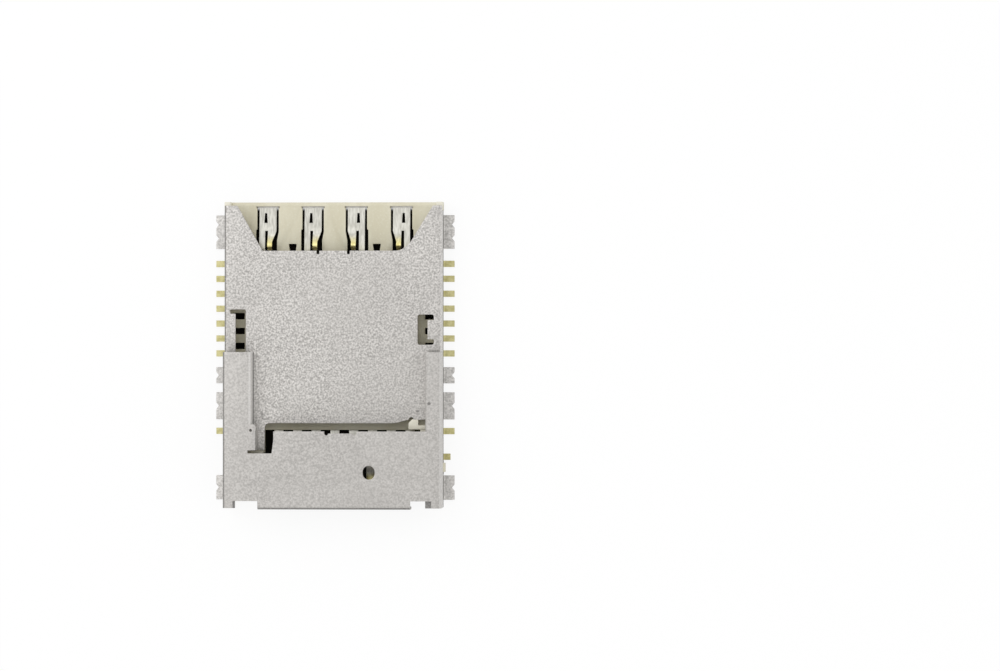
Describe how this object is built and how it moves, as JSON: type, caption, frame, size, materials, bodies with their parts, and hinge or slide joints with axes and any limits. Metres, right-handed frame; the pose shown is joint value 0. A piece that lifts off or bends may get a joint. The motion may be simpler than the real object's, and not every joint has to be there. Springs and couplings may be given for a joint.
{
  "type": "card socket connector",
  "caption": "Low stacked card connector for a circuit board: a folded metal shell over a moulded base, with sprung contacts for a small card below and a thin card above",
  "frame": {"origin": "middle of the footprint in plan, on the plane of the board that the part is soldered to", "axes": "+Y points out of the card mouth, +Z points away from the board, and +X is to the right when the shell is seen from above with the mouth at the top"},
  "size_m": [0.014, 0.0178, 0.0023],
  "materials": {
    "shell_steel": "matte tin-plated sheet with a fine grain",
    "cream_plastic": "matte moulded liquid-crystal polymer",
    "contact_alloy": "nickel-plated copper alloy with gold at the contact points",
    "plated_tails": "pale gold flash on copper alloy"
  },
  "bodies": {
    "housing": {"shell": "shell_steel", "base_housing": "cream_plastic", "sim_terminal_1": "plated_tails", "sim_terminal_2": "plated_tails", "sim_terminal_3": "plated_tails", "sim_terminal_4": "plated_tails", "sim_terminal_5": "plated_tails", "sim_terminal_6": "plated_tails", "sim_terminal_7": "plated_tails", "sim_terminal_8": "plated_tails", "memory_terminal_1": "plated_tails", "memory_terminal_2": "plated_tails", "memory_terminal_3": "plated_tails", "memory_terminal_4": "plated_tails", "memory_terminal_5": "plated_tails", "memory_terminal_6": "plated_tails", "memory_terminal_7": "plated_tails", "memory_terminal_8": "plated_tails", "detect_terminal": "plated_tails"},
    "sim_blade_1": {"sim_spring_1": "contact_alloy"},
    "sim_blade_2": {"sim_spring_2": "contact_alloy"},
    "sim_blade_3": {"sim_spring_3": "contact_alloy"},
    "sim_blade_4": {"sim_spring_4": "contact_alloy"},
    "sim_blade_5": {"sim_spring_5": "contact_alloy"},
    "sim_blade_6": {"sim_spring_6": "contact_alloy"},
    "sim_blade_7": {"sim_spring_7": "contact_alloy"},
    "sim_blade_8": {"sim_spring_8": "contact_alloy"},
    "memory_beam_1": {"memory_spring_1": "contact_alloy"},
    "memory_beam_2": {"memory_spring_2": "contact_alloy"},
    "memory_beam_3": {"memory_spring_3": "contact_alloy"},
    "memory_beam_4": {"memory_spring_4": "contact_alloy"},
    "memory_beam_5": {"memory_spring_5": "contact_alloy"},
    "memory_beam_6": {"memory_spring_6": "contact_alloy"},
    "memory_beam_7": {"memory_spring_7": "contact_alloy"},
    "memory_beam_8": {"memory_spring_8": "contact_alloy"},
    "detect_blade": {"detect_spring": "contact_alloy"}
  },
  "joints": [
    {"name": "sim_flex_1", "type": "hinge", "parent": "housing", "child": "sim_blade_1", "pos_m": [-0.00392, 0.00864, 0.0002], "axis": [1, 0, 0], "range_deg": [0, 10], "stiffness_Nm_per_rad": 0.005},
    {"name": "sim_flex_2", "type": "hinge", "parent": "housing", "child": "sim_blade_2", "pos_m": [-0.00127, 0.00864, 0.0002], "axis": [1, 0, 0], "range_deg": [0, 10], "stiffness_Nm_per_rad": 0.005},
    {"name": "sim_flex_3", "type": "hinge", "parent": "housing", "child": "sim_blade_3", "pos_m": [0.00127, 0.00864, 0.0002], "axis": [1, 0, 0], "range_deg": [0, 10], "stiffness_Nm_per_rad": 0.005},
    {"name": "sim_flex_4", "type": "hinge", "parent": "housing", "child": "sim_blade_4", "pos_m": [0.00392, 0.00864, 0.0002], "axis": [1, 0, 0], "range_deg": [0, 10], "stiffness_Nm_per_rad": 0.005},
    {"name": "sim_flex_5", "type": "hinge", "parent": "housing", "child": "sim_blade_5", "pos_m": [-0.00392, 0.00164, 0.0002], "axis": [1, 0, 0], "range_deg": [0, 10], "stiffness_Nm_per_rad": 0.005},
    {"name": "sim_flex_6", "type": "hinge", "parent": "housing", "child": "sim_blade_6", "pos_m": [-0.00127, 0.00164, 0.0002], "axis": [1, 0, 0], "range_deg": [0, 10], "stiffness_Nm_per_rad": 0.005},
    {"name": "sim_flex_7", "type": "hinge", "parent": "housing", "child": "sim_blade_7", "pos_m": [0.00127, 0.00164, 0.0002], "axis": [1, 0, 0], "range_deg": [0, 10], "stiffness_Nm_per_rad": 0.005},
    {"name": "sim_flex_8", "type": "hinge", "parent": "housing", "child": "sim_blade_8", "pos_m": [0.00392, 0.00164, 0.0002], "axis": [1, 0, 0], "range_deg": [0, 10], "stiffness_Nm_per_rad": 0.005},
    {"name": "memory_flex_1", "type": "hinge", "parent": "housing", "child": "memory_beam_1", "pos_m": [0.0044, -0.00446, 0.0002], "axis": [1, 0, 0], "range_deg": [0, 4], "stiffness_Nm_per_rad": 0.007},
    {"name": "memory_flex_2", "type": "hinge", "parent": "housing", "child": "memory_beam_2", "pos_m": [0.0033, -0.00446, 0.0002], "axis": [1, 0, 0], "range_deg": [0, 4], "stiffness_Nm_per_rad": 0.007},
    {"name": "memory_flex_3", "type": "hinge", "parent": "housing", "child": "memory_beam_3", "pos_m": [0.0022, -0.00446, 0.0002], "axis": [1, 0, 0], "range_deg": [0, 4], "stiffness_Nm_per_rad": 0.007},
    {"name": "memory_flex_4", "type": "hinge", "parent": "housing", "child": "memory_beam_4", "pos_m": [0.0011, -0.00446, 0.0002], "axis": [1, 0, 0], "range_deg": [0, 4], "stiffness_Nm_per_rad": 0.007},
    {"name": "memory_flex_5", "type": "hinge", "parent": "housing", "child": "memory_beam_5", "pos_m": [0, -0.00446, 0.0002], "axis": [1, 0, 0], "range_deg": [0, 4], "stiffness_Nm_per_rad": 0.007},
    {"name": "memory_flex_6", "type": "hinge", "parent": "housing", "child": "memory_beam_6", "pos_m": [-0.0011, -0.00446, 0.0002], "axis": [1, 0, 0], "range_deg": [0, 4], "stiffness_Nm_per_rad": 0.007},
    {"name": "memory_flex_7", "type": "hinge", "parent": "housing", "child": "memory_beam_7", "pos_m": [-0.0022, -0.00446, 0.0002], "axis": [1, 0, 0], "range_deg": [0, 4], "stiffness_Nm_per_rad": 0.007},
    {"name": "memory_flex_8", "type": "hinge", "parent": "housing", "child": "memory_beam_8", "pos_m": [-0.0033, -0.00446, 0.0002], "axis": [1, 0, 0], "range_deg": [0, 4], "stiffness_Nm_per_rad": 0.007},
    {"name": "detect_flex", "type": "hinge", "parent": "housing", "child": "detect_blade", "pos_m": [0.00509, -0.00828, 0.00115], "axis": [0, -1, 0], "range_deg": [0, 15], "stiffness_Nm_per_rad": 0.003}
  ]
}
